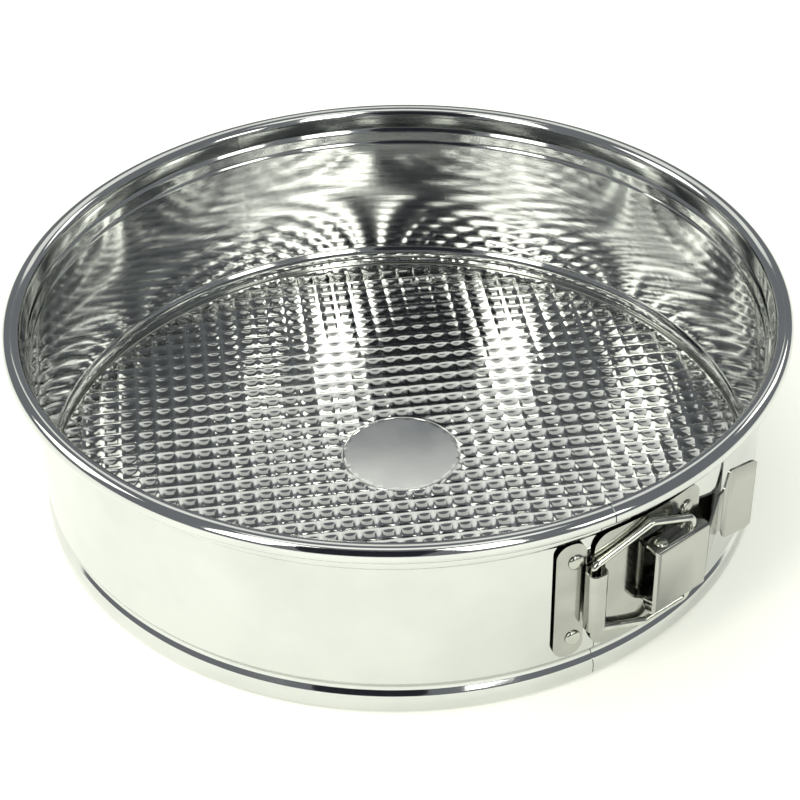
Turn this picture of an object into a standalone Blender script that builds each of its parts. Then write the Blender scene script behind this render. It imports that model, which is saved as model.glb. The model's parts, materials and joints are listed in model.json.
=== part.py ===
"""Springform pan, 24 cm: a sprung tinplate ring, a lift-out base and an over-centre latch.

Metres, +Z up. The pan's axis is the world Z axis and the table is Z = 0. The ring's seam and
the latch face -Y. Angles along the ring are degrees from -Y, positive towards +X.
"""
import math

import bmesh
import bpy
from mathutils import Matrix, Vector

MM = 0.001

# Ring
HEIGHT = 70 * MM            # table to the top of the rolled rim
RIM_RADIUS = 126 * MM       # outermost point of the rim
WALL_RADIUS = 118.5 * MM    # outside of the wall
SHEET = 0.6 * MM            # tinplate
BEAD = 3.0 * MM             # radius of the rolled rim
SEAM_GAP = 0.3 * MM
FLEX_AXIS = Vector((0, RIM_RADIUS + 0.3 * MM, 0))

# Base
BASE_RADIUS = 118.0 * MM
FOOT_RADIUS = 113.3 * MM
FLOOR = 4.2 * MM            # top of the embossed floor, whose rim sits in the bottom bead

# Latch
LATCH_HEIGHT = 35.2 * MM
PLATE = 0.8 * MM
PLATE_RADIUS = WALL_RADIUS + 0.3 * MM + PLATE   # outside of both riveted plates
PLATE_TALL = 43.4 * MM
CATCH_SPAN = (-7.0, -2.3)
BRACKET_SPAN = (-1.05, 19.0)
CATCH_RIVET_ANGLE = -3.95
BRACKET_RIVET_ANGLE = 15.9
RIVET_SPREAD = 14.7 * MM    # rivets above and below the latch's middle
WIRE = 1.2 * MM             # radius of the bail wire
PIN = 1.0 * MM              # radius of the pivot pin
PIVOT = (123.6 * MM, 8.9)   # radius and angle of the lever's pivot
BAIL_HINGE = (124.3 * MM, 14.7)
BAIL_REST = (121.2 * MM, -1.47)
CLEARANCE = 0.25 * MM
LEVER_SHEET = 1.0 * MM
LEVER_ANGLE = 11.2          # direction that the lever's front faces
LEVER_HALF = 12 * MM
EAR_HALF = 10.6 * MM        # outside of the bracket's ears, between the lever's flanges
HOOK_HALF = 10.75 * MM


def clear_scene():
    for obj in list(bpy.data.objects):
        bpy.data.objects.remove(obj, do_unlink=True)


def make_collection(name):
    group = bpy.data.collections.new(name)
    bpy.context.scene.collection.children.link(group)
    return group


def make_material(name, colour, roughness, metallic=1.0):
    material = bpy.data.materials.new(name)
    material.use_nodes = True
    shader = material.node_tree.nodes["Principled BSDF"]
    shader.inputs["Base Color"].default_value = (*colour, 1)
    shader.inputs["Roughness"].default_value = roughness
    shader.inputs["Metallic"].default_value = metallic
    return material


def around(radius, angle, z=0.0):
    """Point at a radius and an angle from -Y."""
    turn = math.radians(angle)
    return Vector((radius * math.sin(turn), -radius * math.cos(turn), z))


def arc(centre, radius, start, end, steps):
    """Points of a circular arc in a plane, angles in degrees from the first axis."""
    points = []
    for i in range(steps + 1):
        turn = math.radians(start + (end - start) * i / steps)
        points.append((centre[0] + radius * math.cos(turn), centre[1] + radius * math.sin(turn)))
    return points


def fillet(points, radius, steps=3, closed=False):
    """Round the corners of a polyline, in two or three dimensions."""
    points = [Vector(p) for p in points]
    count = len(points)
    rounded = []
    for i, corner in enumerate(points):
        if not closed and i in (0, count - 1):
            rounded.append(corner)
            continue
        before = (points[i - 1] - corner).normalized()
        after = (points[(i + 1) % count] - corner).normalized()
        half = before.angle(after) / 2
        reach = radius / math.tan(half)
        start = corner + before * reach
        end = corner + after * reach
        middle = corner + (before + after).normalized() * radius / math.sin(half)
        for k in range(steps + 1):
            share = k / steps
            way = (start - middle).lerp(end - middle, share)
            rounded.append(middle + way.normalized() * radius)
    return rounded


def box_outline(width, height):
    return [(-width / 2, -height / 2), (width / 2, -height / 2),
            (width / 2, height / 2), (-width / 2, height / 2)]


def to_plane(points):
    return [Vector((p[0], p[1], 0)) for p in points]


def add_object(name, data, group, material=None):
    obj = bpy.data.objects.new(name, data)
    group.objects.link(obj)
    if material:
        data.materials.append(material)
    return obj


def make_curve(name, points, closed=False, extrude=0.0, bevel=0.0, flat=True):
    curve = bpy.data.curves.new(name, "CURVE")
    curve.dimensions = "2D" if flat else "3D"
    curve.fill_mode = "BOTH" if flat and closed else ("NONE" if flat else "FULL")
    curve.extrude = extrude
    curve.bevel_depth = bevel
    curve.bevel_resolution = 2
    curve.use_fill_caps = not flat
    spline = curve.splines.new("POLY")
    spline.points.add(len(points) - 1)
    for target, point in zip(spline.points, points):
        target.co = (point[0], point[1], 0 if flat else point[2], 1)
    spline.use_cyclic_u = closed
    return curve


def curve_to_mesh(curve, name):
    """Mesh of a curve, with its seams closed so that it can be cut or thickened."""
    holder = bpy.data.objects.new(name, curve)
    bpy.context.scene.collection.objects.link(holder)
    bpy.context.view_layer.update()
    mesh = bpy.data.meshes.new_from_object(holder)
    bpy.data.objects.remove(holder, do_unlink=True)
    weld(mesh)
    mesh.name = name
    return mesh


def weld(mesh):
    bm = bmesh.new()
    bm.from_mesh(mesh)
    bmesh.ops.remove_doubles(bm, verts=bm.verts, dist=1e-6)
    bm.to_mesh(mesh)
    bm.free()


def prism(name, outline, depth, group):
    """Closed outline in XY, extruded to a depth centred on Z = 0."""
    curve = make_curve(name, outline, closed=True, extrude=depth / 2)
    return add_object(name, curve_to_mesh(curve, name), group)


def shell_sector(name, height, radius, thickness, start, end, steps, group, material=None):
    """Upright piece of a cylinder's wall between two angles, centred on the latch's height."""
    mesh = bpy.data.meshes.new(name)
    low = LATCH_HEIGHT - height / 2
    high = LATCH_HEIGHT + height / 2
    mesh.from_pydata([(radius, 0, high), (radius, 0, low)], [(0, 1)], [])
    obj = add_object(name, mesh, group, material)
    add_screw(obj, start, end, steps)
    add_thickness(obj, thickness)
    return obj


def lathe_line(name, points, group, material=None):
    """Open or closed profile in XZ, ready for a Screw modifier."""
    mesh = bpy.data.meshes.new(name)
    edges = [(i, i + 1) for i in range(len(points) - 1)]
    mesh.from_pydata([(x, 0, z) for x, z in points], edges, [])
    return add_object(name, mesh, group, material)


def add_screw(obj, start, end, steps):
    """Turn a profile at +X from one angle to another, both from -Y."""
    obj.rotation_euler.z = math.radians(start - 90)
    screw = obj.modifiers.new("Turn", "SCREW")
    screw.angle = math.radians(end - start)
    screw.steps = steps
    screw.render_steps = steps
    screw.use_merge_vertices = True
    screw.merge_threshold = 1e-5
    screw.use_smooth_shade = False


def add_thickness(obj, thickness, offset=-1.0):
    solidify = obj.modifiers.new("Sheet", "SOLIDIFY")
    solidify.thickness = thickness
    solidify.offset = offset
    solidify.use_even_offset = True
    solidify.use_rim = True


def add_boolean(obj, tool, operation):
    cut = obj.modifiers.new(operation.title(), "BOOLEAN")
    cut.operation = operation
    cut.solver = "EXACT"
    cut.object = tool


def hide_tool(tool):
    tool.hide_render = True
    tool.display_type = "WIRE"
    return tool


def facing(angle, radius=0.0, z=0.0):
    """Frame with X along the ring, Y up and Z pointing outward at an angle."""
    turn = Matrix.Rotation(math.radians(angle), 4, "Z") @ Matrix.Rotation(math.pi / 2, 4, "X")
    return Matrix.Translation(around(radius, angle, z)) @ turn


def plan(angle, radius=0.0, z=0.0):
    """Frame with X along the ring, Y pointing outward and Z down, at an angle."""
    turn = Matrix.Rotation(math.radians(angle), 4, "Z") @ Matrix.Rotation(math.pi, 4, "X")
    return Matrix.Translation(around(radius, angle, z)) @ turn


def cylinder(name, radius, depth, group, segments=24):
    mesh = bpy.data.meshes.new(name)
    bm = bmesh.new()
    bmesh.ops.create_cone(bm, cap_ends=True, segments=segments, radius1=radius,
                          radius2=radius, depth=depth)
    bm.to_mesh(mesh)
    bm.free()
    return add_object(name, mesh, group)


def ribbon(name, points, height, thickness, group, offset=0.0, material=None):
    """Sheet that stands on a line in XY, centred on Z = 0."""
    curve = make_curve(name, points, extrude=height / 2)
    obj = add_object(name, curve_to_mesh(curve, name), group, material)
    add_thickness(obj, thickness, offset)
    return obj


def ring_profile():
    """Inside face of the ring's sheet, from the hem at the bottom to the rolled rim's edge."""
    inside = WALL_RADIUS - SHEET
    rim = (RIM_RADIUS - BEAD, HEIGHT - BEAD)
    lower = [(inside - 2.2 * MM, SHEET), (inside - 0.7 * MM, SHEET), (inside + 0.2 * MM, 1.3 * MM),
             (inside + 0.6 * MM, 2.6 * MM), (inside + 0.6 * MM, 5.0 * MM),
             (inside + 0.1 * MM, 6.8 * MM), (inside - 0.9 * MM, 8.2 * MM),
             (inside - 1.4 * MM, 9.5 * MM), (inside - 0.8 * MM, 11.0 * MM), (inside, 12.2 * MM)]
    upper = [(inside, 57.0 * MM), (inside + 0.6 * MM, 57.9 * MM), (inside + 0.6 * MM, 61.6 * MM),
             (inside + 1.3 * MM, 62.8 * MM)]
    return lower + upper + arc(rim, BEAD, 178, -120, 9)


def ring_half(name, start, end, group, material):
    half = lathe_line(name, ring_profile(), group, material)
    add_screw(half, start, end, 36)
    add_thickness(half, SHEET)
    return half


def build_ring(parts, tools, material):
    edge = math.degrees(SEAM_GAP / 2 / WALL_RADIUS)
    left = ring_half("band_left", -180 + edge, -edge, parts, material)
    right = ring_half("band_right", edge, 180 - edge, parts, material)

    # Flap under the left end, which keeps the seam tight as the ring closes
    flap = shell_sector("seam_flap", PLATE_TALL, WALL_RADIUS - SHEET - SEAM_GAP, SHEET,
                        -7.5, 1.6, 8, tools)
    root = shell_sector("flap_root", PLATE_TALL, WALL_RADIUS - SHEET / 2, SHEET,
                        edge * 2, 1.6, 3, tools)
    for piece in (flap, root):
        add_boolean(right, hide_tool(piece), "UNION")

    for side, angle in ((left, CATCH_RIVET_ANGLE), (right, BRACKET_RIVET_ANGLE)):
        for z in rivet_heights():
            add_boolean(side, rivet_hole(side.name, angle, z, tools), "DIFFERENCE")
    return left, right


def rivet_heights():
    return (LATCH_HEIGHT + RIVET_SPREAD, LATCH_HEIGHT - RIVET_SPREAD)


def rivet_hole(owner, angle, z, tools):
    hole = cylinder(owner + "_hole", 1.55 * MM, 8 * MM, tools, 16)
    hole.matrix_world = facing(angle, WALL_RADIUS, z)
    return hide_tool(hole)


def build_base(parts, material):
    """Floor whose thin rim reaches into the ring's bottom bead, above a foot on the table."""
    rim = FLOOR - 0.8 * MM
    outline = [(0, FLOOR), (BASE_RADIUS, FLOOR), (BASE_RADIUS, rim), (FOOT_RADIUS + 1.8 * MM, rim),
               (FOOT_RADIUS + 1.4 * MM, rim - 0.5 * MM), (FOOT_RADIUS, 0), (0, 0)]
    base = lathe_line("base_plate", outline, parts, material)
    add_screw(base, 0, 360, 72)
    return base


def build_rivet(name, angle, z, parts, material):
    outline = [(0, 1.0 * MM), (1.2 * MM, 0.9 * MM), (2.1 * MM, 0.55 * MM), (2.6 * MM, 0),
               (1.3 * MM, 0), (1.3 * MM, -1.7 * MM), (0, -1.7 * MM)]
    rivet = lathe_line(name, outline, parts, material)
    add_screw(rivet, 90, 450, 16)
    rivet.matrix_world = facing(angle, PLATE_RADIUS + 0.2 * MM, z)
    return rivet


def plate_blank(name, span, corner, parts, tools, material):
    """Riveted plate: a piece of a larger cylinder, trimmed to a rounded outline."""
    middle = sum(span) / 2
    width = math.radians(span[1] - span[0]) * PLATE_RADIUS
    blank = shell_sector(name, PLATE_TALL + 4 * MM, PLATE_RADIUS, PLATE, span[0] - 1, span[1] + 1,
                         max(4, round(width / (2.5 * MM))), parts, material)
    chord = 2 * PLATE_RADIUS * math.sin(width / PLATE_RADIUS / 2)
    outline = fillet(to_plane(box_outline(chord, PLATE_TALL)), corner, 5, closed=True)
    trim = prism(name + "_outline", outline, 20 * MM, tools)
    trim.matrix_world = facing(middle, PLATE_RADIUS, LATCH_HEIGHT)
    add_boolean(blank, hide_tool(trim), "INTERSECT")
    return blank


def build_catch(parts, tools, material):
    """Left plate, whose edge rolls out and back into a hook around the bail's wire."""
    plate = plate_blank("catch_plate", CATCH_SPAN, 4.5 * MM, parts, tools, material)
    middle = PLATE_RADIUS - PLATE / 2
    wire = around(*BAIL_REST)
    right = wire.x + 3.25 * MM
    left = wire.x - 2.45 * MM
    front = 124.4 * MM
    line = [(-7.5 * MM, middle - 0.24 * MM), (-4 * MM, middle - 0.07 * MM), (right, middle),
            (right, front), (left, front), (left, middle + 1.5 * MM)]
    hook = ribbon("hook", line[:1] + fillet(to_plane(line[1:]), 2.0 * MM, 4), 2 * HOOK_HALF,
                  PLATE - 0.2 * MM, tools)
    hook.matrix_world = plan(0, 0, LATCH_HEIGHT)
    add_boolean(plate, hide_tool(hook), "UNION")
    for z in rivet_heights():
        add_boolean(plate, rivet_hole("catch", CATCH_RIVET_ANGLE, z, tools), "DIFFERENCE")
    return plate


def build_bracket(parts, tools, material):
    """Right plate, with two ears for the lever's pivot and a notch that clears the catch."""
    plate = plate_blank("bracket_plate", BRACKET_SPAN, 5.5 * MM, parts, tools, material)
    radius, angle = PIVOT
    depth = radius - PLATE_RADIUS
    root = PLATE / 2 + depth
    outline = [(-3 * MM, -root), (-2.4 * MM, -1 * MM)] + arc((0, 0), 1.8 * MM, 150, 30, 6)
    outline += [(2.4 * MM, -1 * MM), (5 * MM, -root)]
    for side, end in (("upper", 1), ("lower", -1)):
        ear = prism("ear_" + side, outline, PLATE, tools)
        ear.matrix_world = plan(angle, radius, LATCH_HEIGHT + end * (EAR_HALF - PLATE / 2))
        add_boolean(plate, hide_tool(ear), "UNION")
    bore = cylinder("ear_bore", PIN + 0.15 * MM, 60 * MM, tools)
    bore.matrix_world = Matrix.Translation(around(radius, angle, LATCH_HEIGHT))
    add_boolean(plate, hide_tool(bore), "DIFFERENCE")

    notch = prism("catch_notch", box_outline(6 * MM, 2 * HOOK_HALF + 1.4 * MM), 20 * MM, tools)
    notch.matrix_world = facing(-0.6, PLATE_RADIUS, LATCH_HEIGHT)
    add_boolean(plate, hide_tool(notch), "DIFFERENCE")
    for z in rivet_heights():
        add_boolean(plate, rivet_hole("bracket", BRACKET_RIVET_ANGLE, z, tools), "DIFFERENCE")
    return plate


def build_pin(parts, material):
    """Pivot pin with a domed head at each end, outside the lever's flanges."""
    half = LEVER_HALF + CLEARANCE
    outline = [(0, half + 0.9 * MM), (1.1 * MM, half + 0.8 * MM), (1.9 * MM, half + 0.4 * MM),
               (2.1 * MM, half), (PIN, half)]
    outline += [(x, -z) for x, z in reversed(outline)]
    pin = lathe_line("pivot_pin", outline, parts, material)
    add_screw(pin, 90, 450, 20)
    pin.matrix_world = Matrix.Translation(around(*PIVOT, LATCH_HEIGHT))
    return pin


def lever_point(radius, angle):
    """A point in the lever's own plan: X along it and Y outward, from the pivot."""
    turn = math.radians(angle - LEVER_ANGLE)
    home = math.radians(PIVOT[1] - LEVER_ANGLE)
    return Vector((radius * math.sin(turn) - PIVOT[0] * math.sin(home),
                   radius * math.cos(turn) - PIVOT[0] * math.cos(home), 0))


def build_lever(parts, tools, material):
    """Folded channel with two flanges, a neck that dips to the wall and a flared thumb tab."""
    front = 3.15 * MM
    left = -4.2 * MM
    right = 17.3 * MM
    section = [(-3.6 * MM, LEVER_HALF), (front, LEVER_HALF), (front, -LEVER_HALF),
               (-3.6 * MM, -LEVER_HALF)]
    path = fillet(to_plane(section), 1.3 * MM, 3)
    lever = ribbon("lever", path, right - left, LEVER_SHEET, parts, -1.0, material)
    frame = plan(LEVER_ANGLE, 0, LATCH_HEIGHT)
    frame.translation = around(*PIVOT, LATCH_HEIGHT)
    to_channel = Matrix(((0, 0, 1, (left + right) / 2), (1, 0, 0, 0), (0, 1, 0, 0), (0, 0, 0, 1)))
    lever.matrix_world = frame @ to_channel

    hinge = lever_point(*BAIL_HINGE)
    heel = arc((0, 0), 3.75 * MM, 180, 250, 5)
    nose = arc((left + 1.6 * MM, front - 1.6 * MM), 1.6 * MM, 90, 180, 5)
    outline = [(right + 1 * MM, front + 1 * MM), (left + 1.6 * MM, front + 1 * MM)] + nose + heel
    outline += [(3 * MM, -3.1 * MM), (hinge.x - 3 * MM, hinge.y - 3.1 * MM),
                (hinge.x + 1.5 * MM, hinge.y - 2.7 * MM), (hinge.x + 4.2 * MM, hinge.y - 0.6 * MM),
                (right + 1 * MM, front - 1.2 * MM)]
    flanges = prism("lever_outline", outline, 40 * MM, tools)
    flanges.matrix_world = frame
    add_boolean(lever, hide_tool(flanges), "INTERSECT")

    dip = lever_point(120.0 * MM, 24.6)
    root = lever_point(120.0 * MM, 27.4)
    tip = lever_point(124.7 * MM, 31.9)
    line = [(8 * MM, front - 0.1 * MM, 0), (right, front - 0.1 * MM, 0), dip, root, tip]
    handle = ribbon("lever_handle", fillet(line, 3.5 * MM, 4), 60 * MM, LEVER_SHEET - 0.2 * MM,
                    tools, -1.0)
    handle.matrix_world = frame
    side = [(0, -11 * MM), (right - 0.5 * MM, -11 * MM), (right + 3 * MM, -7.5 * MM),
            (root.x - 2.5 * MM, -7.5 * MM), (root.x, -13.3 * MM), (tip.x + 1 * MM, -13.3 * MM),
            (tip.x + 1 * MM, 13.3 * MM), (root.x, 13.3 * MM), (root.x - 2.5 * MM, 7.5 * MM),
            (right + 3 * MM, 7.5 * MM), (right - 0.5 * MM, 11 * MM), (0, 11 * MM)]
    silhouette = prism("handle_outline", fillet(to_plane(side), 1.6 * MM, 3, closed=True),
                       60 * MM, tools)
    upright = Matrix(((1, 0, 0, 0), (0, 0, 1, 0), (0, 1, 0, 0), (0, 0, 0, 1)))
    silhouette.matrix_world = frame @ upright
    add_boolean(handle, hide_tool(silhouette), "INTERSECT")
    add_boolean(lever, hide_tool(handle), "UNION")

    for name, radius, spot in (("pivot_hole", PIN + 0.15 * MM, Vector()),
                               ("bail_hole", WIRE + CLEARANCE, hinge)):
        hole = cylinder(name, radius, 60 * MM, tools)
        hole.matrix_world = frame @ Matrix.Translation(spot)
        add_boolean(lever, hide_tool(hole), "DIFFERENCE")
    return lever


def build_bail(parts, material):
    """Wire loop: its crossbar lies in the hook and its ends turn into the lever's flanges."""
    middle = LATCH_HEIGHT
    half = [around(*BAIL_HINGE, middle + 8.6 * MM), around(*BAIL_HINGE, middle + 15.3 * MM),
            around(121.2 * MM, 8.1, middle + 19.3 * MM), around(*BAIL_REST, middle + 12.2 * MM)]
    other = [Vector((p.x, p.y, 2 * middle - p.z)) for p in reversed(half)]
    path = fillet(half + other, 1.8 * MM, 4)
    curve = make_curve("bail", path, bevel=WIRE, flat=False)
    return add_object("bail", curve, parts, material)


def hinge_empty(name, position, children, parent, group):
    """Empty on a joint's axis, which carries the pieces that turn about it."""
    bpy.context.view_layer.update()
    empty = bpy.data.objects.new(name, None)
    empty.empty_display_size = 0.02
    group.objects.link(empty)
    empty.location = position
    if parent:
        bpy.context.view_layer.update()
        empty.parent = parent
        empty.matrix_parent_inverse = parent.matrix_world.inverted()
    bpy.context.view_layer.update()
    for child in children:
        child.parent = empty
        child.matrix_parent_inverse = empty.matrix_world.inverted()
    return empty


def main():
    clear_scene()
    parts = make_collection("springform_pan")
    tools = make_collection("cutters")

    tinplate = make_material("ring_tinplate", (0.82, 0.83, 0.79), 0.16)
    embossed = make_material("base_tinplate", (0.78, 0.78, 0.76), 0.22)
    plated = make_material("latch_plating", (0.80, 0.81, 0.77), 0.14)
    wire = make_material("wire_steel", (0.72, 0.72, 0.70), 0.20)
    rivet_steel = make_material("rivet_steel", (0.76, 0.76, 0.74), 0.25)

    build_base(parts, embossed)
    left, right = build_ring(parts, tools, tinplate)
    left_pieces = [left, build_catch(parts, tools, plated)]
    right_pieces = [right, build_bracket(parts, tools, plated), build_pin(parts, rivet_steel)]
    for side, angle, pieces in (("catch", CATCH_RIVET_ANGLE, left_pieces),
                                ("bracket", BRACKET_RIVET_ANGLE, right_pieces)):
        for place, z in zip(("upper", "lower"), rivet_heights()):
            name = f"{side}_rivet_{place}"
            pieces.append(build_rivet(name, angle, z, parts, rivet_steel))
    lever = build_lever(parts, tools, plated)
    bail = build_bail(parts, wire)

    hinge_empty("left_flex_axis", FLEX_AXIS, left_pieces, None, parts)
    right_axis = hinge_empty("right_flex_axis", FLEX_AXIS, right_pieces, None, parts)
    lever_axis = hinge_empty("lever_axis", around(*PIVOT, LATCH_HEIGHT), [lever], right_axis, parts)
    hinge_empty("bail_axis", around(*BAIL_HINGE, LATCH_HEIGHT), [bail], lever_axis, parts)


main()
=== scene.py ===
"""Looks of the springform pan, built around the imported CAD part. Metres, +Z up.

Angles along the ring are degrees from -Y, positive towards +X, as the seam and latch face -Y.
"""

import json
import math

import bmesh
import bpy
import numpy as np
from mathutils import Matrix, Vector


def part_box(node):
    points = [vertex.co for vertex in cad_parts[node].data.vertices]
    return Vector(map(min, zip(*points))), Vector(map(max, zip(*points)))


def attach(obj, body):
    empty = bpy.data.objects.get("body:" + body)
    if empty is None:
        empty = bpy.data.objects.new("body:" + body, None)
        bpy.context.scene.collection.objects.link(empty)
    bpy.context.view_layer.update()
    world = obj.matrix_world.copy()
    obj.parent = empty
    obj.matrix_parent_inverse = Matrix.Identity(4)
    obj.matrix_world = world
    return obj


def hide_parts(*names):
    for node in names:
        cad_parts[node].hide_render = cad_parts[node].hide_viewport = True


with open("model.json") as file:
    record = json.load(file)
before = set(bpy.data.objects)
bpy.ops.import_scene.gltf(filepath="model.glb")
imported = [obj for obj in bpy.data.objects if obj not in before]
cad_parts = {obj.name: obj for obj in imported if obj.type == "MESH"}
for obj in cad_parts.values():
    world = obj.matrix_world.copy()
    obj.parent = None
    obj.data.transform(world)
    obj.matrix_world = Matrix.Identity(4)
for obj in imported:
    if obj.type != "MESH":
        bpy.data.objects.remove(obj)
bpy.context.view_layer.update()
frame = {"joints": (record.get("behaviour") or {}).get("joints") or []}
MM = 0.001

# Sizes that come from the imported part
RING_LOW, RING_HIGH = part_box("band_left")
RIM_RADIUS = RING_HIGH.y                    # outermost point of the rolled rim
HEIGHT = RING_HIGH.z
WALL_RADIUS = RIM_RADIUS - 7.5 * MM         # outside of the wall
BASE_LOW, BASE_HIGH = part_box("base_plate")
BASE_RADIUS = BASE_HIGH.y
FLOOR = BASE_HIGH.z                         # top of the embossing
PLATE_LOW, PLATE_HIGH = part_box("bracket_plate")
PLATE_TALL = PLATE_HIGH.z - PLATE_LOW.z
LATCH_HEIGHT = (PLATE_HIGH.z + PLATE_LOW.z) / 2
JOINTS = {joint["name"]: joint for joint in frame["joints"]}
PIVOT = Vector(JOINTS["lever_swing"]["pos_m"])
HINGE = Vector(JOINTS["bail_swing"]["pos_m"])

# Ring
SHEET = 0.6 * MM
BEAD = 3.0 * MM                             # radius of the rolled rim
SEAM_GAP = 0.3 * MM

# Base
BASE_SHEET = 0.55 * MM
FLOOR_RADIUS = BASE_RADIUS - 0.4 * MM
WAFFLE_RADIUS = BASE_RADIUS - 1.6 * MM      # the embossing stops here
DISC_RADIUS = 20 * MM                       # plain disc in the middle
PITCH = 6.3 * MM                            # from one dimple to the next
DIVISIONS = 6                               # mesh squares across a dimple
DIMPLE_DEPTH = 0.85 * MM
DIMPLE_SQUARENESS = 5
DIMPLE_SLOPE = 2.2
WAFFLE_TURN = math.radians(-21.4)

# Latch
PLATE = 0.8 * MM                            # thickness of both plates
PLATE_RADIUS = WALL_RADIUS + 0.3 * MM + PLATE
CATCH_SPAN = (-7.0, -2.3)
BRACKET_SPAN = (-1.05, 19.0)
LEVER_ANGLE = 11.2
LEVER_HALF = 12 * MM
LEVER_SHEET = 1.0 * MM
EAR_HALF = 10.6 * MM
HOOK_HALF = 10.75 * MM
PIN_BORE = 1.1 * MM
BAIL_BORE = 1.35 * MM
BAIL_WIRE = 1.18 * MM
BAIL_REST = (121.2 * MM, -1.47)             # radius and angle of the wire in the hook


def around(radius, angle, z=0.0):
    turn = math.radians(angle)
    return Vector((radius * math.sin(turn), -radius * math.cos(turn), z))


def polar(point):
    return math.hypot(point.x, point.y), math.degrees(math.atan2(point.x, -point.y))


def arc(centre, radius, start, end, steps):
    points = []
    for i in range(steps + 1):
        turn = math.radians(start + (end - start) * i / steps)
        points.append((centre[0] + radius * math.cos(turn), centre[1] + radius * math.sin(turn)))
    return points


def flat(points):
    return [Vector((p[0], p[1], 0)) for p in points]


def rectangle(half_width, half_height):
    return flat([(-half_width, -half_height), (half_width, -half_height),
                 (half_width, half_height), (-half_width, half_height)])


def fillet(points, radius, steps=6, closed=False):
    """Round a polyline's corners, with one radius or one for each; short sides get less."""
    points = [Vector(p) for p in points]
    count = len(points)
    rounded = []
    for i, corner in enumerate(points):
        if not closed and i in (0, count - 1):
            rounded.append(corner)
            continue
        back = points[i - 1] - corner
        ahead = points[(i + 1) % count] - corner
        half = back.angle(ahead) / 2
        if half > math.radians(89.5):
            rounded.append(corner)
            continue
        size = radius[i] if isinstance(radius, list) else radius
        reach = min(size / math.tan(half), 0.48 * back.length, 0.48 * ahead.length)
        size = reach * math.tan(half)
        back.normalize()
        ahead.normalize()
        start = corner + back * reach
        end = corner + ahead * reach
        middle = corner + (back + ahead).normalized() * size / math.sin(half)
        for k in range(steps + 1):
            way = (start - middle).lerp(end - middle, k / steps)
            rounded.append(middle + way.normalized() * size)
    return rounded


# Meshes

def make_object(name, mesh):
    obj = bpy.data.objects.new(name, mesh)
    bpy.context.scene.collection.objects.link(obj)
    return obj


def finish_mesh(obj, material, sharp=35):
    """Outward normals, smooth shading with crisp edges, and a material."""
    mesh = obj.data
    bm = bmesh.new()
    bm.from_mesh(mesh)
    bmesh.ops.remove_doubles(bm, verts=bm.verts, dist=1e-6)
    bmesh.ops.dissolve_degenerate(bm, edges=bm.edges, dist=1e-6)
    bmesh.ops.recalc_face_normals(bm, faces=bm.faces)
    bm.to_mesh(mesh)
    bm.free()
    mesh.shade_smooth()
    mesh.set_sharp_from_angle(angle=math.radians(sharp))
    mesh.materials.clear()
    mesh.materials.append(material)
    return obj


def lathe(name, section, start, end, steps, matrix=None):
    """Closed section of (radius, height) points, turned between two angles."""
    full = abs(end - start) > 359.9
    count = len(section)
    rows = steps if full else steps + 1
    verts = []
    for i in range(rows):
        turn = math.radians(start + (end - start) * i / steps)
        s, c = math.sin(turn), math.cos(turn)
        verts += [(r * s, -r * c, z) for r, z in section]
    faces = []
    for i in range(steps):
        a = i * count
        b = ((i + 1) % rows) * count
        for j in range(count):
            k = (j + 1) % count
            faces.append((a + j, a + k, b + k, b + j))
    if not full:
        faces.append(tuple(range(count)))
        faces.append(tuple(reversed(range(steps * count, (steps + 1) * count))))
    mesh = bpy.data.meshes.new(name)
    mesh.from_pydata(verts, [], faces)
    if matrix:
        mesh.transform(matrix)
    return make_object(name, mesh)


def sheet_section(line, thickness):
    """Closed outline of a sheet whose inside face follows a line in (radius, height)."""
    line = flat(line)
    outer = []
    for i, point in enumerate(line):
        before = line[max(i - 1, 0)]
        after = line[min(i + 1, len(line) - 1)]
        along = (after - before).normalized()
        outer.append(point + Vector((along.y, -along.x, 0)) * thickness)
    return [(p.x, p.y) for p in line + outer[::-1]]


def make_curve(name, points, closed=False, extrude=0.0, bevel=0.0, is_flat=True):
    curve = bpy.data.curves.new(name, "CURVE")
    curve.dimensions = "2D" if is_flat else "3D"
    curve.fill_mode = "BOTH" if is_flat and closed else ("NONE" if is_flat else "FULL")
    curve.extrude = extrude
    curve.bevel_depth = bevel
    curve.bevel_resolution = 7
    curve.use_fill_caps = not is_flat
    spline = curve.splines.new("POLY")
    spline.points.add(len(points) - 1)
    for target, point in zip(spline.points, points):
        target.co = (point[0], point[1], 0 if is_flat else point[2], 1)
    spline.use_cyclic_u = closed
    return curve


def curve_object(name, curve):
    holder = make_object(name + "_line", curve)
    bpy.context.view_layer.update()
    mesh = bpy.data.meshes.new_from_object(holder)
    bpy.data.objects.remove(holder, do_unlink=True)
    bm = bmesh.new()
    bm.from_mesh(mesh)
    bmesh.ops.remove_doubles(bm, verts=bm.verts, dist=1e-6)
    bm.to_mesh(mesh)
    bm.free()
    mesh.name = name
    return make_object(name, mesh)


def prism(name, outline, depth):
    return curve_object(name, make_curve(name, outline, closed=True, extrude=depth / 2))


def ribbon(name, points, height, thickness, offset=0.0):
    """Sheet that stands on a line in XY, centred on Z = 0."""
    obj = curve_object(name, make_curve(name, points, extrude=height / 2))
    solidify = obj.modifiers.new("Sheet", "SOLIDIFY")
    solidify.thickness = thickness
    solidify.offset = offset
    solidify.use_even_offset = True
    solidify.use_rim = True
    return obj


def cylinder(name, radius, depth, segments=48):
    mesh = bpy.data.meshes.new(name)
    bm = bmesh.new()
    bmesh.ops.create_cone(bm, cap_ends=True, segments=segments, radius1=radius,
                          radius2=radius, depth=depth)
    bm.to_mesh(mesh)
    bm.free()
    return make_object(name, mesh)


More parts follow.
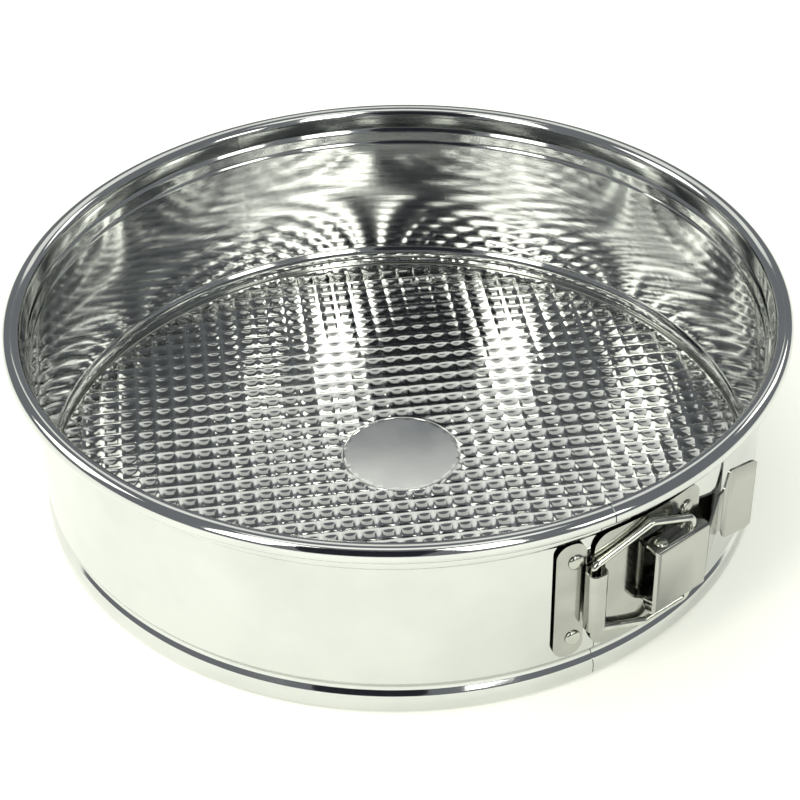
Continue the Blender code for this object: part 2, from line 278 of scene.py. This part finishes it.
def combine(obj, *steps):
    """Apply boolean steps of (operation, tool), then drop the tools."""
    for operation, tool in steps:
        cut = obj.modifiers.new(operation.title(), "BOOLEAN")
        cut.operation = operation
        cut.solver = "EXACT"
        cut.object = tool
    apply_all(obj)
    for tool in {tool for _, tool in steps}:
        bpy.data.objects.remove(tool, do_unlink=True)
    return obj


def apply_all(obj):
    """Freeze an object's modifiers and place into its mesh."""
    bpy.context.view_layer.update()
    graph = bpy.context.evaluated_depsgraph_get()
    mesh = bpy.data.meshes.new_from_object(obj.evaluated_get(graph))
    mesh.transform(obj.matrix_world)
    obj.modifiers.clear()
    obj.data = mesh
    obj.matrix_world = Matrix.Identity(4)
    return obj


def soften(obj, width=0.14 * MM, angle=35):
    """Roll the stamped edges over, so that they catch the light."""
    bevel = obj.modifiers.new("Edges", "BEVEL")
    bevel.width = width
    bevel.segments = 2
    bevel.limit_method = "ANGLE"
    bevel.angle_limit = math.radians(angle)
    bevel.use_clamp_overlap = True
    return apply_all(obj)


def facing(angle, radius=0.0, z=0.0):
    """Frame with X along the ring, Y up and Z pointing outward at an angle."""
    turn = Matrix.Rotation(math.radians(angle), 4, "Z") @ Matrix.Rotation(math.pi / 2, 4, "X")
    return Matrix.Translation(around(radius, angle, z)) @ turn


def plan(angle, origin):
    """Frame with X along the ring, Y pointing outward and Z down, at an angle."""
    turn = Matrix.Rotation(math.radians(angle), 4, "Z") @ Matrix.Rotation(math.pi, 4, "X")
    return Matrix.Translation(origin) @ turn


# Materials

class Nodes:
    """Small helper that adds and links shader nodes."""

    def __init__(self, name, colour, metallic, roughness):
        self.material = bpy.data.materials.new(name)
        self.material.use_nodes = True
        self.tree = self.material.node_tree
        self.shader = self.tree.nodes["Principled BSDF"]
        self.shader.inputs["Base Color"].default_value = (*colour, 1)
        self.shader.inputs["Metallic"].default_value = metallic
        self.shader.inputs["Roughness"].default_value = roughness
        self.place = self.add("ShaderNodeTexCoord").outputs["Object"]

    def add(self, kind, **values):
        node = self.tree.nodes.new(kind)
        for key, value in values.items():
            setattr(node, key, value)
        return node

    def link(self, output, target):
        self.tree.links.new(output, target)

    def noise(self, scale, detail=3.0, stretch=(1, 1, 1), rough=0.5):
        mapping = self.add("ShaderNodeMapping")
        mapping.inputs["Scale"].default_value = stretch
        self.link(self.place, mapping.inputs["Vector"])
        node = self.add("ShaderNodeTexNoise")
        node.inputs["Scale"].default_value = scale
        node.inputs["Detail"].default_value = detail
        node.inputs["Roughness"].default_value = rough
        self.link(mapping.outputs[0], node.inputs["Vector"])
        return node.outputs["Fac"]

    def remap(self, value, low, high, to_low, to_high):
        node = self.add("ShaderNodeMapRange")
        for slot, number in zip(("From Min", "From Max", "To Min", "To Max"),
                                (low, high, to_low, to_high)):
            node.inputs[slot].default_value = number
        self.link(value, node.inputs["Value"])
        return node.outputs["Result"]

    def math(self, operation, a, b):
        node = self.add("ShaderNodeMath", operation=operation)
        for slot, value in zip(node.inputs, (a, b)):
            if isinstance(value, (int, float)):
                slot.default_value = value
            else:
                self.link(value, slot)
        return node.outputs[0]

    def blend(self, factor, first, second):
        node = self.add("ShaderNodeMix", data_type="RGBA")
        self.link(factor, node.inputs[0])
        for slot, value in ((node.inputs[6], first), (node.inputs[7], second)):
            if isinstance(value, tuple):
                slot.default_value = (*value, 1)
            else:
                self.link(value, slot)
        return node.outputs[2]

    def bump(self, layers):
        """Chain of (height, distance) bumps."""
        normal = None
        for height, distance in layers:
            node = self.add("ShaderNodeBump")
            node.inputs["Strength"].default_value = 1.0
            node.inputs["Distance"].default_value = distance
            self.link(height, node.inputs["Height"])
            if normal:
                self.link(normal, node.inputs["Normal"])
            normal = node.outputs[0]
        self.link(normal, self.shader.inputs["Normal"])

    def colour(self, output):
        self.link(output, self.shader.inputs["Base Color"])

    def roughness(self, output):
        self.link(output, self.shader.inputs["Roughness"])


def tinplate(name, light, dark, rough, wave, painted_dimple_shade=False):
    """Bright rolled sheet: cloudy tin, fine rolling grain, faint scuffs and slight waviness; if
    asked, painted shade that darkens the dimples by their depth.
    """
    n = Nodes(name, light, 1.0, rough)
    clouds = n.noise(26, 4)
    grain = n.noise(60, 3, (1, 1, 22))
    scuffs = n.noise(420, 6, (1, 1, 0.25), 0.7)
    colour = n.blend(n.remap(clouds, 0.35, 0.68, 0, 1), light, dark)
    # Painted shade: the dimples grow darker with depth, towards a darker copy of the tin.
    if painted_dimple_shade:
        depth = n.add("ShaderNodeAttribute", attribute_name="painted_dimple_shade").outputs["Fac"]
        shade = tuple(0.42 * c for c in dark)
        colour = n.blend(n.math("MULTIPLY", depth, 0.85), colour, shade)
    n.colour(colour)
    worn = n.remap(scuffs, 0.62, 0.78, 0, 0.10)
    base = n.remap(n.math("ADD", clouds, grain), 0.7, 1.3, rough * 0.7, rough * 1.35)
    n.roughness(n.math("ADD", base, worn))
    n.bump([(n.noise(9, 2), wave), (grain, 0.007 * MM), (scuffs, 0.003 * MM)])
    return n.material


def plated(name, light, dark, rough):
    """Nickel plating: clear reflections, pale rubbed edges and matt specks in the plating."""
    n = Nodes(name, light, 1.0, rough)
    clouds = n.noise(90, 4)
    specks = n.noise(900, 5, (1, 1, 1), 0.65)
    edge = n.add("ShaderNodeNewGeometry").outputs["Pointiness"]
    tone = n.blend(n.remap(clouds, 0.35, 0.7, 0, 1), light, dark)
    n.colour(n.blend(n.remap(edge, 0.52, 0.62, 0, 0.6), tone, (0.60, 0.60, 0.56)))
    worn = n.remap(specks, 0.58, 0.75, 0, 0.12)
    n.roughness(n.math("ADD", n.remap(clouds, 0.3, 0.7, rough * 0.8, rough * 1.3), worn))
    n.bump([(clouds, 0.05 * MM), (specks, 0.004 * MM)])
    return n.material


def drawn_wire(name, light, dark, rough):
    """Drawn wire with faint lines along the vertical and duller patches."""
    n = Nodes(name, light, 1.0, rough)
    lines = n.noise(700, 3, (1, 1, 0.06))
    patches = n.noise(140, 4)
    n.colour(n.blend(n.remap(patches, 0.4, 0.7, 0, 1), light, dark))
    n.roughness(n.remap(n.math("ADD", lines, patches), 0.7, 1.3, rough * 0.7, rough * 1.5))
    n.bump([(lines, 0.02 * MM)])
    return n.material


# Pieces

def curved_plate(name, height, radius, thickness, start, end, steps):
    """Piece of a cylinder's wall at the latch's height, with its outside at a radius."""
    low = LATCH_HEIGHT - height / 2
    high = LATCH_HEIGHT + height / 2
    section = [(radius - thickness, low), (radius, low), (radius, high), (radius - thickness, high)]
    return lathe(name, section, start, end, steps)


def ring_line():
    """Inside face of the ring's sheet, from the hem at the bottom to the rolled rim's edge."""
    inside = WALL_RADIUS - SHEET
    lower = [(inside - 2.2 * MM, SHEET), (inside - 0.7 * MM, SHEET), (inside + 0.2 * MM, 1.3 * MM),
             (inside + 0.6 * MM, 2.6 * MM), (inside + 0.6 * MM, 5.0 * MM),
             (inside + 0.1 * MM, 6.8 * MM), (inside - 0.9 * MM, 8.2 * MM),
             (inside - 1.4 * MM, 9.5 * MM), (inside - 0.8 * MM, 11.0 * MM), (inside, 12.2 * MM)]
    upper = [(inside, 57.0 * MM), (inside + 0.6 * MM, 57.9 * MM), (inside + 0.6 * MM, 61.6 * MM),
             (inside + 1.3 * MM, 62.8 * MM)]
    rim = arc((RIM_RADIUS - BEAD, HEIGHT - BEAD), BEAD, 178, -120, 36)
    bends = fillet(flat(lower + upper + rim[:1]), 1.5 * MM, 4)
    return [(p.x, p.y) for p in bends] + rim[1:]


def make_ring(name, start, end, body, node, material):
    piece = lathe(name, sheet_section(ring_line(), SHEET), start, end, 220)
    finish_mesh(piece, material, 50)
    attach(piece, body)
    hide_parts(node)


def make_back_strip(material):
    """Thin strip inside the sheet where the halves meet, which fills the gap when they part."""
    full = flat(sheet_section(ring_line(), 0.15 * MM))
    line = [(p.x, p.y) for p in full[len(full) // 2:][::-1]][2:-2]
    piece = lathe("ring_back_strip", sheet_section(line, 0.3 * MM), 179.85, 180.15, 2)
    finish_mesh(piece, material, 50)
    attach(piece, "ring_left")


def make_flap(material):
    """Flap on the right end of the ring, which lies under the left end and bridges the seam."""
    outer = WALL_RADIUS - SHEET - 0.3 * MM
    piece = soften(curved_plate("seam_flap", PLATE_TALL, outer, SHEET, -7.5, 1.6, 40))
    finish_mesh(piece, material)
    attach(piece, "ring_right")


def waffle_height(x, y):
    """Height of the embossed floor, and how deep in a dimple each point lies."""
    across = x * math.cos(WAFFLE_TURN) + y * math.sin(WAFFLE_TURN)
    along = -x * math.sin(WAFFLE_TURN) + y * math.cos(WAFFLE_TURN)
    u = 2 * np.abs((across / PITCH) % 1 - 0.5)
    v = 2 * np.abs((along / PITCH) % 1 - 0.5)
    power = DIMPLE_SQUARENESS
    reach = np.minimum((u ** power + v ** power) ** (1 / power), 1)
    depth = 1 - reach ** DIMPLE_SLOPE
    radius = np.hypot(x, y)
    depth = np.where((radius > DISC_RADIUS + 0.1 * MM) & (radius < WAFFLE_RADIUS), depth, 0)
    return FLOOR - DIMPLE_DEPTH * depth, depth


def waffle_sheet():
    """Closed embossed sheet on a grid that lines up with the waffle."""
    step = PITCH / DIVISIONS
    half = int(FLOOR_RADIUS / step) + 2
    line = np.arange(-half, half + 1) * step
    gx, gy = np.meshgrid(line, line, indexing="ij")
    x = gx * math.cos(WAFFLE_TURN) - gy * math.sin(WAFFLE_TURN)
    y = gx * math.sin(WAFFLE_TURN) + gy * math.cos(WAFFLE_TURN)
    size = len(line)
    index = np.arange(size * size).reshape(size, size)
    quads = np.stack([index[:-1, :-1], index[1:, :-1], index[1:, 1:], index[:-1, 1:]],
                     axis=-1).reshape(-1, 4)
    x, y = x.ravel(), y.ravel()
    middle = np.hypot(x[quads].mean(1), y[quads].mean(1))
    quads = quads[middle < FLOOR_RADIUS]

    sides = np.concatenate([quads[:, [0, 1]], quads[:, [1, 2]], quads[:, [2, 3]], quads[:, [3, 0]]])
    keys = np.sort(sides, axis=1)
    _, inverse, counts = np.unique(keys, axis=0, return_inverse=True, return_counts=True)
    border = sides[counts[inverse.ravel()] == 1]
    radius = np.hypot(x, y)
    grow = np.ones_like(x)
    edge = np.unique(border)
    grow[edge] = FLOOR_RADIUS / radius[edge]
    near = np.abs(radius - DISC_RADIUS) < 0.52 * step
    grow[near] = DISC_RADIUS / radius[near]
    x, y = x * grow, y * grow

    z, depth = waffle_height(x, y)
    used, compact = np.unique(quads, return_inverse=True)
    quads = compact.reshape(-1, 4)
    border = np.searchsorted(used, border)
    x, y, z, depth = x[used], y[used], z[used], depth[used]
    count = len(used)
    verts = np.concatenate([np.stack([x, y, z], 1), np.stack([x, y, z - BASE_SHEET], 1)])
    faces = quads.tolist() + (quads[:, ::-1] + count).tolist()
    faces += [(b, a, a + count, b + count) for a, b in border.tolist()]
    mesh = bpy.data.meshes.new("base_floor")
    mesh.from_pydata(verts.tolist(), [], faces)
    # Each point's dimple depth, kept as an attribute that the base material turns into painted
    # shade.
    tone = mesh.attributes.new("painted_dimple_shade", "FLOAT", "POINT")
    tone.data.foreach_set("value", np.concatenate([depth, depth]).astype(np.float32))
    mesh.shade_smooth()
    mesh.set_sharp_from_angle(angle=math.radians(70))
    return make_object("base_floor", mesh)


def make_base(material, border_material):
    floor = waffle_sheet()
    floor.data.materials.append(material)
    hem = [(BASE_RADIUS - 0.5 * MM + 0.42 * MM * math.cos(t), FLOOR - 0.45 * MM * (1 - math.sin(t)))
           for t in np.linspace(0, 2 * math.pi, 17)[:-1]]
    border = lathe("base_border", hem, 0, 360, 360)
    finish_mesh(border, border_material, 60)
    ring = [(DISC_RADIUS + 0.35 * MM * math.cos(t), FLOOR - 0.12 * MM + 0.3 * MM * math.sin(t))
            for t in np.linspace(0, 2 * math.pi, 15)[:-1]]
    edge = lathe("base_disc_edge", ring, 0, 360, 160)
    finish_mesh(edge, border_material, 60)
    for piece in (floor, border, edge):
        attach(piece, "base")
    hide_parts("base_plate")


def dome(name, radius, height, depth, matrix, material):
    """Round head with a crisp skirt, and a shank behind it."""
    cap = [(radius * math.sin(t), height * math.cos(t)) for t in np.linspace(0, math.pi / 2, 12)]
    section = [(0.00002, cap[0][1])] + cap[1:] + [(radius, -0.12 * MM), (1.3 * MM, -0.12 * MM),
                                                (1.3 * MM, -depth), (0.00002, -depth)]
    piece = lathe(name, section, 0, 360, 48, matrix)
    finish_mesh(piece, material, 50)
    return piece


def rivet_spots(side):
    """Node, angle and height of the two rivets of a plate."""
    spots = []
    for place in ("upper", "lower"):
        node = f"{side}_rivet_{place}"
        low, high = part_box(node)
        middle = (low + high) / 2
        spots.append((node, polar(middle)[1], middle.z))
    return spots


def latch_rivets(material):
    for side, body in (("catch", "ring_left"), ("bracket", "ring_right")):
        for node, angle, z in rivet_spots(side):
            spot = facing(angle, PLATE_RADIUS + 0.2 * MM, z)
            piece = dome(node + "_head", 2.55 * MM, 1.05 * MM, 1.8 * MM, spot, material)
            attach(piece, body)
            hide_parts(node)


def rivet_holes(side):
    steps = []
    for node, angle, z in rivet_spots(side):
        hole = cylinder(node + "_hole", 1.5 * MM, 8 * MM)
        hole.matrix_world = facing(angle, WALL_RADIUS, z)
        steps.append(("DIFFERENCE", hole))
    return steps


def plate_blank(name, span, corner):
    """Riveted plate and the step that trims it to a rounded outline."""
    middle = sum(span) / 2
    width = math.radians(span[1] - span[0]) * PLATE_RADIUS
    steps = max(12, round(width / (0.8 * MM)))
    blank = curved_plate(name, PLATE_TALL + 4 * MM, PLATE_RADIUS, PLATE, span[0] - 1, span[1] + 1,
                         steps)
    chord = 2 * PLATE_RADIUS * math.sin(width / PLATE_RADIUS / 2)
    outline = fillet(rectangle(chord / 2, PLATE_TALL / 2), corner, 10, closed=True)
    trim = prism(name + "_outline", outline, 20 * MM)
    trim.matrix_world = facing(middle, PLATE_RADIUS, LATCH_HEIGHT)
    return blank, ("INTERSECT", trim)


def make_catch(material):
    """Left plate, whose edge rolls out and back into a hook around the bail's wire."""
    blank, trim = plate_blank("latch_catch", CATCH_SPAN, 4.5 * MM)
    middle = PLATE_RADIUS - PLATE / 2
    wire = around(*BAIL_REST)
    right = wire.x + 3.25 * MM
    left = wire.x - 2.45 * MM
    front = 124.4 * MM
    line = [(-7.5 * MM, middle - 0.24 * MM), (-4 * MM, middle - 0.07 * MM), (right, middle),
            (right, front), (left, front), (left, middle + 1.5 * MM)]
    hook = ribbon("hook", flat(line[:1]) + fillet(flat(line[1:]), 2.0 * MM, 10), 2 * HOOK_HALF,
                  PLATE - 0.2 * MM)
    hook.matrix_world = plan(0, Vector((0, 0, LATCH_HEIGHT)))
    steps = [trim, ("UNION", hook)] + rivet_holes("catch")
    latch_piece(combine(blank, *steps), "ring_left", "catch_plate", material)


def make_bracket(material):
    """Right plate, with two ears for the lever's pivot and a notch that clears the catch."""
    blank, trim = plate_blank("latch_bracket", BRACKET_SPAN, 5.5 * MM)
    radius, angle = polar(PIVOT)
    root = PLATE / 2 + radius - PLATE_RADIUS
    outline = [(-3 * MM, -root), (-2.4 * MM, -1 * MM)] + arc((0, 0), 1.8 * MM, 150, 30, 16)
    outline += [(2.4 * MM, -1 * MM), (5 * MM, -root)]
    steps = [trim]
    for end in (1, -1):
        ear = prism("ear", outline, PLATE)
        ear.matrix_world = plan(angle, around(radius, angle,
                                              LATCH_HEIGHT + end * (EAR_HALF - PLATE / 2)))
        steps.append(("UNION", ear))
    bore = cylinder("bore", PIN_BORE, 60 * MM)
    bore.matrix_world = Matrix.Translation(PIVOT)
    steps.append(("DIFFERENCE", bore))
    window = rectangle(3 * MM, HOOK_HALF + 0.7 * MM)
    notch = prism("notch", fillet(window, 1.0 * MM, 6, closed=True), 20 * MM)
    notch.matrix_world = facing(-0.6, PLATE_RADIUS, LATCH_HEIGHT)
    steps += [("DIFFERENCE", notch)] + rivet_holes("bracket")
    latch_piece(combine(blank, *steps), "ring_right", "bracket_plate", material)


def latch_piece(piece, body, node, material):
    soften(piece)
    finish_mesh(piece, material)
    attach(piece, body)
    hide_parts(node)
    return piece


def make_pin(material):
    """Pivot pin with a domed head at each end, outside the lever's flanges."""
    half = LEVER_HALF + 0.25 * MM
    cap = [(2.1 * MM * math.sin(t), half + 0.9 * MM * math.cos(t))
           for t in np.linspace(0.02, math.pi / 2, 10)]
    side = cap + [(1.0 * MM, half)]
    section = side + [(r, -z) for r, z in reversed(side)]
    piece = lathe("lever_pin", section, 0, 360, 40, Matrix.Translation(PIVOT))
    finish_mesh(piece, material, 50)
    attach(piece, "ring_right")
    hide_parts("pivot_pin")


def lever_point(radius, angle):
    """A point in the lever's own plan: X along it and Y outward, from the pivot."""
    turn = math.radians(angle - LEVER_ANGLE)
    reach, home_angle = polar(PIVOT)
    home = math.radians(home_angle - LEVER_ANGLE)
    return Vector((radius * math.sin(turn) - reach * math.sin(home),
                   radius * math.cos(turn) - reach * math.cos(home), 0))


def make_lever(material, painted_shade_material):
    """Folded channel with two flanges, a neck that dips to the wall and a flared thumb tab; its
    inner faces get painted shade.
    """
    front = 3.15 * MM
    left = -4.2 * MM
    right = 17.3 * MM
    section = [(-3.6 * MM, LEVER_HALF), (front, LEVER_HALF), (front, -LEVER_HALF),
               (-3.6 * MM, -LEVER_HALF)]
    lever = ribbon("latch_lever", fillet(flat(section), 1.3 * MM, 8), right - left, LEVER_SHEET,
                   -1.0)
    place = plan(LEVER_ANGLE, PIVOT)
    to_channel = Matrix(((0, 0, 1, (left + right) / 2), (1, 0, 0, 0), (0, 1, 0, 0), (0, 0, 0, 1)))
    lever.matrix_world = place @ to_channel

    hinge = lever_point(*polar(HINGE))
    heel = arc((0, 0), 3.75 * MM, 180, 250, 14)
    nose = arc((left + 1.6 * MM, front - 1.6 * MM), 1.6 * MM, 90, 180, 12)
    outline = [(right + 1 * MM, front + 1 * MM), (left + 1.6 * MM, front + 1 * MM)] + nose + heel
    outline += [(3 * MM, -3.1 * MM), (hinge.x - 3 * MM, hinge.y - 3.1 * MM),
                (hinge.x + 1.5 * MM, hinge.y - 2.7 * MM), (hinge.x + 4.2 * MM, hinge.y - 0.6 * MM),
                (right + 1 * MM, front - 1.2 * MM)]
    flanges = prism("lever_outline", outline, 40 * MM)
    flanges.matrix_world = place

    dip = lever_point(120.0 * MM, 24.6)
    root = lever_point(120.0 * MM, 27.4)
    tip = lever_point(124.7 * MM, 31.9)
    line = [(8 * MM, front - 0.1 * MM, 0), (right, front - 0.1 * MM, 0), dip, root, tip]
    handle = ribbon("handle", fillet(line, 3.5 * MM, 10), 60 * MM, 0.8 * MM, -1.0)
    handle.matrix_world = place
    side = [(0, -11 * MM), (right - 0.5 * MM, -11 * MM), (right + 3 * MM, -7.5 * MM),
            (root.x - 2.5 * MM, -7.5 * MM), (root.x, -13.3 * MM), (tip.x + 1 * MM, -13.3 * MM),
            (tip.x + 1 * MM, 13.3 * MM), (root.x, 13.3 * MM), (root.x - 2.5 * MM, 7.5 * MM),
            (right + 3 * MM, 7.5 * MM), (right - 0.5 * MM, 11 * MM), (0, 11 * MM)]
    sizes = [1.6 * MM] * 5 + [3.6 * MM] * 2 + [1.6 * MM] * 5
    silhouette = prism("handle_outline", fillet(flat(side), sizes, 8, closed=True), 60 * MM)
    upright = Matrix(((1, 0, 0, 0), (0, 0, 1, 0), (0, 1, 0, 0), (0, 0, 0, 1)))
    silhouette.matrix_world = place @ upright
    combine(handle, ("INTERSECT", silhouette))

    steps = [("INTERSECT", flanges), ("UNION", handle)]
    for radius, spot in ((PIN_BORE, Vector()), (BAIL_BORE, hinge)):
        hole = cylinder("hole", radius, 60 * MM)
        hole.matrix_world = place @ Matrix.Translation(spot)
        steps.append(("DIFFERENCE", hole))
    piece = latch_piece(combine(lever, *steps), "lever", "lever", material)
    # Faces turned to the wall, and the flanges' faces inside the channel, get the near-black second
    # material: painted shade in the channel and behind the tab.
    piece.data.materials.append(painted_shade_material)
    out = place.to_3x3() @ Vector((0, 1, 0))
    back = place.inverted()
    for face in piece.data.polygons:
        spot = back @ face.center
        inside = abs(spot.z) < LEVER_HALF - 0.4 * MM and spot.y < front - 0.5 * MM
        if face.normal.dot(out) < -0.3 or (inside and abs(face.normal.z) > 0.6 and spot.x < right):
            face.material_index = 1


def make_bail(material):
    """Wire loop: its crossbar lies in the hook and its ends turn into the lever's flanges."""
    hinge = polar(HINGE)
    half = [around(*hinge, LATCH_HEIGHT + 8.6 * MM), around(*hinge, LATCH_HEIGHT + 15.3 * MM),
            around(121.2 * MM, 8.1, LATCH_HEIGHT + 19.3 * MM),
            around(*BAIL_REST, LATCH_HEIGHT + 12.2 * MM)]
    other = [Vector((p.x, p.y, 2 * LATCH_HEIGHT - p.z)) for p in reversed(half)]
    path = fillet(half + other, 2.6 * MM, 12)
    curve = make_curve("bail_wire", path, bevel=BAIL_WIRE, is_flat=False)
    piece = curve_object("bail_wire", curve)
    finish_mesh(piece, material, 50)
    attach(piece, "bail")
    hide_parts("bail")


# Stage

def make_camera():
    """Camera above the front right, whose frame shows the whole pan off centre."""
    data = bpy.data.cameras.new("Camera")
    data.lens = 90
    data.sensor_width = 36
    data.shift_x = -0.034625
    data.shift_y = 0.076
    camera = bpy.data.objects.new("Camera", data)
    bpy.context.scene.collection.objects.link(camera)
    turn = Matrix.Rotation(math.radians(-29.2), 4, "Z")
    place = turn @ Vector((0.0090, -0.5337, 0.4285))
    target = turn @ Vector((0.0090, 0.0, 0.0007))
    look = (target - place).to_track_quat("-Z", "Y")
    roll = Matrix.Rotation(math.radians(-0.57), 4, "Z")
    camera.matrix_world = Matrix.Translation(place) @ look.to_matrix().to_4x4() @ roll
    bpy.context.scene.camera = camera


def make_floor():
    mesh = bpy.data.meshes.new("floor")
    reach = 9.0
    mesh.from_pydata([(-reach, -reach, 0), (reach, -reach, 0), (reach, reach, 0),
                      (-reach, reach, 0)], [], [(0, 1, 2, 3)])
    floor = make_object("floor", mesh)
    floor.location.z = -0.0003
    n = Nodes("floor_paper", (0.91, 0.92, 0.86), 0.0, 0.7)
    n.colour(n.blend(n.noise(7, 3), (0.90, 0.91, 0.84), (0.93, 0.94, 0.88)))
    n.shader.inputs["Emission Color"].default_value = (1.0, 1.02, 0.93, 1)
    n.shader.inputs["Emission Strength"].default_value = 0.24
    mesh.materials.append(n.material)


def seen_from_pan(azimuth, elevation, distance):
    """Place in a direction from the pan, in degrees, turned to face the pan."""
    turn, rise = math.radians(azimuth), math.radians(elevation)
    away = Vector((math.sin(turn) * math.cos(rise), -math.cos(turn) * math.cos(rise),
                   math.sin(rise)))
    return Matrix.Translation(away * distance) @ away.to_track_quat("Z", "Y").to_matrix().to_4x4()


def studio_card(name, azimuth, elevation, distance, width, height, tone):
    """Plain card that only shows in reflections, facing the pan."""
    mesh = bpy.data.meshes.new(name)
    w, h = width / 2, height / 2
    mesh.from_pydata([(-w, -h, 0), (w, -h, 0), (w, h, 0), (-w, h, 0)], [], [(0, 1, 2, 3)])
    card = make_object(name, mesh)
    card.matrix_world = seen_from_pan(azimuth, elevation, distance)
    n = Nodes(name, tone, 0.0, 0.9)
    n.shader.inputs["Specular IOR Level"].default_value = 0.1
    mesh.materials.append(n.material)
    card.visible_camera = False
    card.visible_shadow = False
    card.visible_diffuse = False


def softbox(name, azimuth, elevation, distance, width, height, power):
    """Rectangular light facing the pan, slightly warm."""
    data = bpy.data.lights.new(name, "AREA")
    data.shape = "RECTANGLE"
    data.size = width
    data.size_y = height
    data.energy = power
    data.color = (1.0, 1.0, 0.92)
    light = bpy.data.objects.new(name, data)
    bpy.context.scene.collection.objects.link(light)
    light.matrix_world = seen_from_pan(azimuth, elevation, distance)


def make_light():
    world = bpy.data.worlds.new("World")
    world.use_nodes = True
    shade = world.node_tree.nodes["Background"]
    shade.inputs[0].default_value = (0.74, 0.78, 0.84, 1)
    shade.inputs[1].default_value = 0.28
    bpy.context.scene.world = world
    sun = bpy.data.lights.new("sky_sun", "SUN")
    sun.energy = 1.25
    sun.angle = math.radians(75)
    holder = bpy.data.objects.new("sky_sun", sun)
    bpy.context.scene.collection.objects.link(holder)
    holder.rotation_euler = (math.radians(-28), math.radians(-22), 0)
    holder.visible_glossy = False
    # name, azimuth, elevation, distance, width, height, power
    softbox("front_left_box", -70, 40, 1.3, 0.36, 0.9, 5.4)
    softbox("front_right_box", -5, 40, 1.3, 0.30, 0.9, 5.2)
    softbox("far_right_box", 24, 30, 1.3, 0.3, 0.3, 1.2)
    softbox("back_box", 152, 52, 1.3, 1.0, 0.6, 1.6)
    softbox("overhead_box", -30, 80, 1.2, 1.0, 0.35, 1.3)
    softbox("side_left_box", -128, 35, 1.3, 0.5, 0.6, 3.0)
    softbox("side_right_box", 100, 35, 1.3, 0.3, 0.4, 1.0)
    studio_card("photographer", -38, 32, 0.95, 0.50, 0.9, (0.02, 0.02, 0.03))
    bpy.context.scene.view_settings.view_transform = "Standard"


tin = tinplate("ring_tin", (0.655, 0.665, 0.65), (0.585, 0.595, 0.585), 0.065, 0.25 * MM)
# The base tin paints shade into the dimples.
base_tin = tinplate("base_tin", (0.75, 0.76, 0.735), (0.67, 0.68, 0.665), 0.11, 0.10 * MM, True)
border_tin = tinplate("border_tin", (0.78, 0.79, 0.76), (0.72, 0.73, 0.71), 0.12, 0.10 * MM)
nickel = plated("latch_nickel", (0.45, 0.455, 0.42), (0.37, 0.375, 0.35), 0.13)
# The lever's nickel is a darker copy of the latch nickel above: painted shade.
lever_nickel_painted_shade = plated("lever_nickel_painted_shade", (0.26, 0.264, 0.248), (0.21, 0.213, 0.202), 0.15)
# Near-black copy of the nickel, used as painted shade on the lever's inner faces.
lever_inner_painted_shade = plated("latch_inside_painted_shade", (0.16, 0.16, 0.15), (0.09, 0.09, 0.085), 0.26)
wire = drawn_wire("bail_steel", (0.60, 0.61, 0.56), (0.44, 0.45, 0.42), 0.16)
rivet = plated("rivet_nickel", (0.52, 0.53, 0.48), (0.40, 0.41, 0.38), 0.18)

make_camera()
seam = math.degrees(SEAM_GAP / 2 / WALL_RADIUS)
make_ring("ring_left_band", -180, -seam, "ring_left", "band_left", tin)
make_ring("ring_right_band", seam, 180, "ring_right", "band_right", tin)
make_back_strip(tin)
make_flap(tin)
make_base(base_tin, border_tin)
make_catch(nickel)
make_bracket(nickel)
latch_rivets(rivet)
make_pin(rivet)
make_lever(lever_nickel_painted_shade, lever_inner_painted_shade)
make_bail(wire)
make_floor()
make_light()
